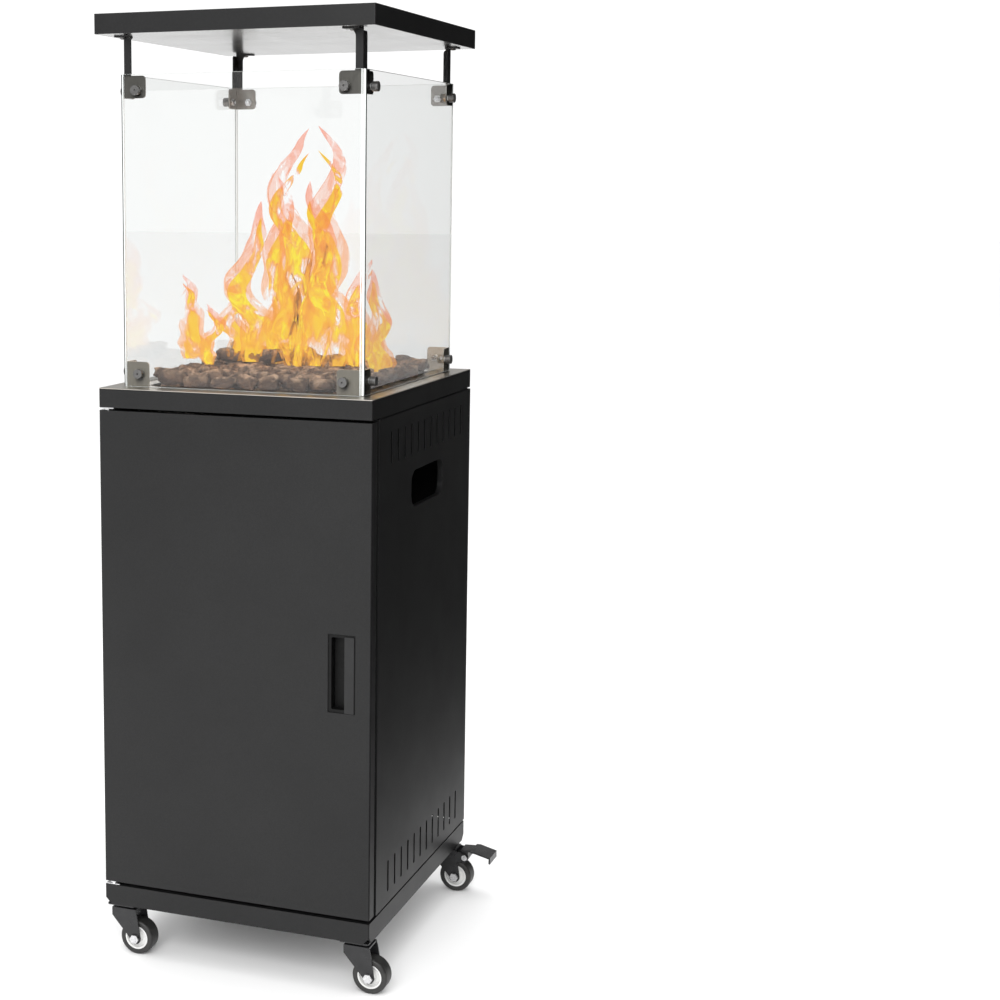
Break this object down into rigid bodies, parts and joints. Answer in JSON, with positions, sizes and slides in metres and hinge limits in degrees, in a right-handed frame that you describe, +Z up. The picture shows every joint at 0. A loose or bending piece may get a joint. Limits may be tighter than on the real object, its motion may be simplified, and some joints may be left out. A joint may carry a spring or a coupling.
{
  "type": "outdoor heater",
  "caption": "Upright gas patio heater: a cabinet with a hinged door on swivel casters, a burner deck with lava rocks inside a glass box, and a flat roof on corner posts.",
  "frame": {"origin": "on the floor, under the middle of the cabinet", "axes": "+Z up, +X to the right and -Y to the front when facing the door"},
  "size_m": [0.51, 0.45, 1.322],
  "materials": {
    "black_paint": "fine-textured satin powder coat, charcoal black",
    "black_steel": "black e-coated pressed steel",
    "dark_steel": "black oxide, satin",
    "stainless": "brushed stainless, a little heat tinted",
    "mirror_stainless": "bright stainless, nearly a mirror",
    "zinc_steel": "zinc plated",
    "aluminium": "die cast, satin",
    "brass": "turned",
    "black_plastic": "fine moulded texture",
    "red_plastic": "gloss",
    "hub_plastic": "light grey moulding",
    "tyre": "solid rubber, satin",
    "glass": "clear tempered, polished edges",
    "lava_rock": "rough and pitted, brown to tan"
  },
  "bodies": {
    "cabinet": {"back_panel": "black_paint", "base_tray": "black_paint", "bottle_stops": "black_paint", "brass_fittings": "brass", "burner_pan": "stainless", "burner_ring": "stainless", "caster_plates": "black_steel", "control_panel": "black_paint", "deck_frame": "black_paint", "deck_plate": "stainless", "gas_valve": "aluminium", "glass_back": "glass", "glass_bolts": "dark_steel", "glass_front": "glass", "glass_left": "glass", "glass_right": "glass", "glass_washers": "dark_steel", "hinge_pins": "zinc_steel", "igniter_body": "black_plastic", "lava_rocks": "lava_rock", "left_side_panel": "black_paint", "lower_brackets": "stainless", "magnetic_catch": "black_plastic", "mixer_tube": "stainless", "pilot_assembly": "stainless", "right_side_panel": "black_paint", "roof_post_back_left": "black_paint", "roof_post_back_right": "black_paint", "roof_post_front_left": "black_paint", "roof_post_front_right": "black_paint", "roof_reflector": "mirror_stainless", "roof_screws": "dark_steel", "roof_tray": "black_paint", "supply_pipe": "aluminium", "tilt_switch": "black_plastic"},
    "door": {"door_panel": "black_paint", "handle_cup": "black_plastic", "door_strike": "zinc_steel"},
    "valve_plug": {"valve_plug": "brass"},
    "knob": {"control_knob": "black_plastic", "valve_spindle": "brass"},
    "igniter_button": {"igniter_button": "red_plastic"},
    "caster_front_left": {"fork_front_left": "black_steel", "axle_front_left": "zinc_steel"},
    "wheel_front_left": {"tyre_front_left": "tyre", "hub_front_left": "hub_plastic"},
    "caster_front_right": {"fork_front_right": "black_steel", "axle_front_right": "zinc_steel"},
    "wheel_front_right": {"tyre_front_right": "tyre", "hub_front_right": "hub_plastic"},
    "caster_back_left": {"fork_back_left": "black_steel", "axle_back_left": "zinc_steel"},
    "wheel_back_left": {"tyre_back_left": "tyre", "hub_back_left": "hub_plastic"},
    "pedal_back_left": {"brake_pedal_back_left": "black_steel"},
    "caster_back_right": {"fork_back_right": "black_steel", "axle_back_right": "zinc_steel"},
    "wheel_back_right": {"tyre_back_right": "tyre", "hub_back_right": "hub_plastic"},
    "pedal_back_right": {"brake_pedal_back_right": "black_steel"}
  },
  "joints": [
    {"name": "door_hinge", "type": "hinge", "parent": "cabinet", "child": "door", "pos_m": [-0.19, -0.215, 0.448], "axis": [0, 0, -1], "range_deg": [0, 110]},
    {"name": "knob_turn", "type": "hinge", "parent": "cabinet", "child": "valve_plug", "pos_m": [-0.06, -0.1415, 0.747], "axis": [0, -1, 0], "range_deg": [0, 180]},
    {"name": "knob_push", "type": "slide", "parent": "valve_plug", "child": "knob", "axis": [0, 1, 0], "range_m": [0, 0.004], "stiffness_N_per_m": 1500, "springref_m": -0.003},
    {"name": "igniter_push", "type": "slide", "parent": "cabinet", "child": "igniter_button", "axis": [0, 1, 0], "range_m": [0, 0.005], "stiffness_N_per_m": 2000, "springref_m": -0.002},
    {"name": "swivel_front_left", "type": "hinge", "parent": "cabinet", "child": "caster_front_left", "pos_m": [-0.177, -0.202, 0.0675], "axis": [0, 0, 1], "continuous": true},
    {"name": "spin_front_left", "type": "hinge", "parent": "caster_front_left", "child": "wheel_front_left", "pos_m": [-0.157, -0.202, 0.025], "axis": [0, 1, 0], "continuous": true},
    {"name": "swivel_front_right", "type": "hinge", "parent": "cabinet", "child": "caster_front_right", "pos_m": [0.177, -0.202, 0.0675], "axis": [0, 0, 1], "continuous": true},
    {"name": "spin_front_right", "type": "hinge", "parent": "caster_front_right", "child": "wheel_front_right", "pos_m": [0.197, -0.202, 0.025], "axis": [0, 1, 0], "continuous": true},
    {"name": "swivel_back_left", "type": "hinge", "parent": "cabinet", "child": "caster_back_left", "pos_m": [-0.177, 0.202, 0.0675], "axis": [0, 0, 1], "continuous": true},
    {"name": "spin_back_left", "type": "hinge", "parent": "caster_back_left", "child": "wheel_back_left", "pos_m": [-0.197, 0.202, 0.025], "axis": [0, 1, 0], "continuous": true},
    {"name": "brake_back_left", "type": "hinge", "parent": "caster_back_left", "child": "pedal_back_left", "pos_m": [-0.213, 0.202, 0.058], "axis": [0, -1, 0], "range_deg": [0, 15]},
    {"name": "swivel_back_right", "type": "hinge", "parent": "cabinet", "child": "caster_back_right", "pos_m": [0.177, 0.202, 0.0675], "axis": [0, 0, 1], "continuous": true},
    {"name": "spin_back_right", "type": "hinge", "parent": "caster_back_right", "child": "wheel_back_right", "pos_m": [0.197, 0.202, 0.025], "axis": [0, 1, 0], "continuous": true},
    {"name": "brake_back_right", "type": "hinge", "parent": "caster_back_right", "child": "pedal_back_right", "pos_m": [0.213, 0.202, 0.058], "axis": [0, 1, 0], "range_deg": [0, 15]}
  ]
}
